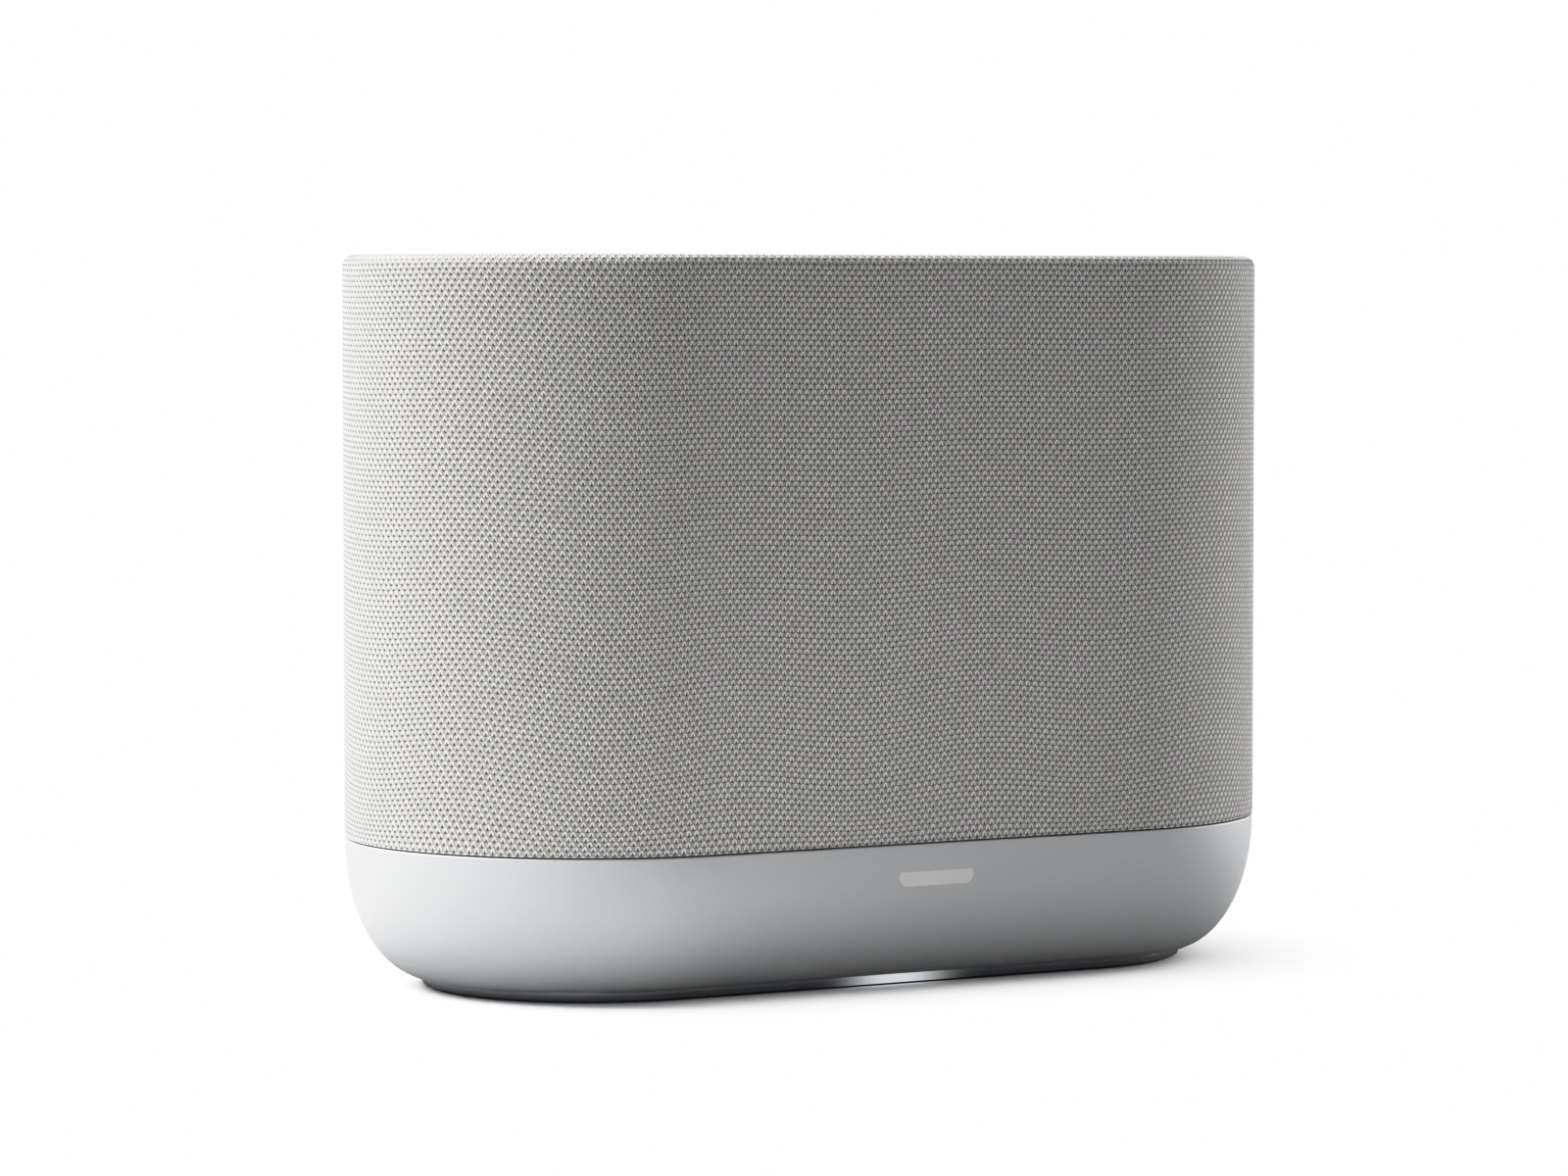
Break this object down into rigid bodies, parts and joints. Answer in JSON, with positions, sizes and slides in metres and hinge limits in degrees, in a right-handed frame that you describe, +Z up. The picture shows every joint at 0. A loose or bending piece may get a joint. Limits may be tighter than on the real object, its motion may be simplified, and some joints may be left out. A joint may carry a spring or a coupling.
{
  "type": "smart speaker",
  "caption": "Wide cloth-covered smart speaker with round ends on a moulded bowl base with a lit plinth, sprung top keys and rear connectors.",
  "frame": {"origin": "centre of the foot's underside", "axes": "+Z up, the front faces -Y, +X to the right when seen from the front"},
  "size_m": [0.3, 0.149, 0.219],
  "materials": {
    "cloth": "knitted melange cloth, warm light grey",
    "base_plastic": "satin silver grey moulding",
    "top_plastic": "satin grey moulding",
    "black_plastic": "black moulding",
    "smoked_lens": "smoked translucent, semi gloss",
    "white_diffuser": "milky translucent",
    "soft_rubber": "matt black rubber",
    "badge_metal": "satin",
    "circuit_board": "solder mask with parts",
    "screw_steel": "zinc plated",
    "magnet_iron": "plated iron and ferrite",
    "cone_paper": "pressed fibre",
    "dome_silk": "coated cloth dome",
    "coil_copper": "copper wire on a former",
    "spider_cloth": "resin treated cloth",
    "heatsink_metal": "extruded",
    "winding_yellow": "taped winding and ferrite",
    "can_sleeve": "shrink sleeve"
  },
  "bodies": {
    "housing": {"fabric_sleeve": "cloth", "grille_frame": "black_plastic", "seam_gasket": "soft_rubber", "top_panel": "top_plastic", "top_frame": "black_plastic", "base_shell": "base_plastic", "badge": "badge_metal", "light_ring": "smoked_lens", "light_guide": "white_diffuser", "light_board": "circuit_board", "foot_pad": "soft_rubber", "bottom_plate": "black_plastic", "housing_screws": "screw_steel", "connector_panel": "black_plastic", "power_inlet": "black_plastic", "aux_jack": "black_plastic", "usb_port": "screw_steel", "key_board": "circuit_board", "microphone_board": "circuit_board", "cabinet_shell": "black_plastic", "front_baffle": "black_plastic", "baffle_gasket": "soft_rubber", "baffle_screws": "screw_steel", "driver_screws": "screw_steel", "woofer_left_basket": "black_plastic", "woofer_left_magnet": "magnet_iron", "woofer_left_surround": "soft_rubber", "woofer_left_spider": "spider_cloth", "woofer_right_basket": "black_plastic", "woofer_right_magnet": "magnet_iron", "woofer_right_surround": "soft_rubber", "woofer_right_spider": "spider_cloth", "tweeter_left_faceplate": "black_plastic", "tweeter_left_magnet": "magnet_iron", "tweeter_left_surround": "soft_rubber", "tweeter_right_faceplate": "black_plastic", "tweeter_right_magnet": "magnet_iron", "tweeter_right_surround": "soft_rubber", "radiator_frame": "black_plastic", "radiator_surround": "soft_rubber", "main_board": "circuit_board", "heatsink": "heatsink_metal", "power_board": "circuit_board", "transformer": "winding_yellow", "capacitors": "can_sleeve", "antennas": "coil_copper"},
    "woofer_left": {"woofer_left_cone": "cone_paper", "woofer_left_dust_cap": "cone_paper", "woofer_left_voice_coil": "coil_copper"},
    "woofer_right": {"woofer_right_cone": "cone_paper", "woofer_right_dust_cap": "cone_paper", "woofer_right_voice_coil": "coil_copper"},
    "tweeter_left": {"tweeter_left_dome": "dome_silk"},
    "tweeter_right": {"tweeter_right_dome": "dome_silk"},
    "radiator": {"radiator_plate": "magnet_iron"},
    "volume_down": {"volume_down_key": "top_plastic"},
    "play": {"play_key": "top_plastic"},
    "volume_up": {"volume_up_key": "top_plastic"},
    "microphone": {"microphone_key": "top_plastic"},
    "pair": {"pair_button": "top_plastic"}
  },
  "joints": [
    {"name": "woofer_left_travel", "type": "slide", "parent": "housing", "child": "woofer_left", "axis": [0, -1, 0], "range_m": [-0.004, 0.004], "stiffness_N_per_m": 2200, "deforming": ["woofer_left_surround", "woofer_left_spider"]},
    {"name": "woofer_right_travel", "type": "slide", "parent": "housing", "child": "woofer_right", "axis": [0, -1, 0], "range_m": [-0.004, 0.004], "stiffness_N_per_m": 2200, "deforming": ["woofer_right_surround", "woofer_right_spider"]},
    {"name": "tweeter_left_travel", "type": "slide", "parent": "housing", "child": "tweeter_left", "axis": [0, -1, 0], "range_m": [-0.0003, 0.0003], "stiffness_N_per_m": 1500, "deforming": ["tweeter_left_surround"]},
    {"name": "tweeter_right_travel", "type": "slide", "parent": "housing", "child": "tweeter_right", "axis": [0, -1, 0], "range_m": [-0.0003, 0.0003], "stiffness_N_per_m": 1500, "deforming": ["tweeter_right_surround"]},
    {"name": "radiator_travel", "type": "slide", "parent": "housing", "child": "radiator", "axis": [0, 1, 0], "range_m": [-0.005, 0.005], "stiffness_N_per_m": 1800, "deforming": ["radiator_surround"]},
    {"name": "volume_down_press", "type": "slide", "parent": "housing", "child": "volume_down", "axis": [0, 0, -1], "range_m": [0, 0.0006], "stiffness_N_per_m": 3000},
    {"name": "play_press", "type": "slide", "parent": "housing", "child": "play", "axis": [0, 0, -1], "range_m": [0, 0.0006], "stiffness_N_per_m": 3000},
    {"name": "volume_up_press", "type": "slide", "parent": "housing", "child": "volume_up", "axis": [0, 0, -1], "range_m": [0, 0.0006], "stiffness_N_per_m": 3000},
    {"name": "microphone_press", "type": "slide", "parent": "housing", "child": "microphone", "axis": [0, 0, -1], "range_m": [0, 0.0006], "stiffness_N_per_m": 3000},
    {"name": "pair_press", "type": "slide", "parent": "housing", "child": "pair", "axis": [0, -1, 0], "range_m": [0, 0.0005], "stiffness_N_per_m": 2500}
  ]
}
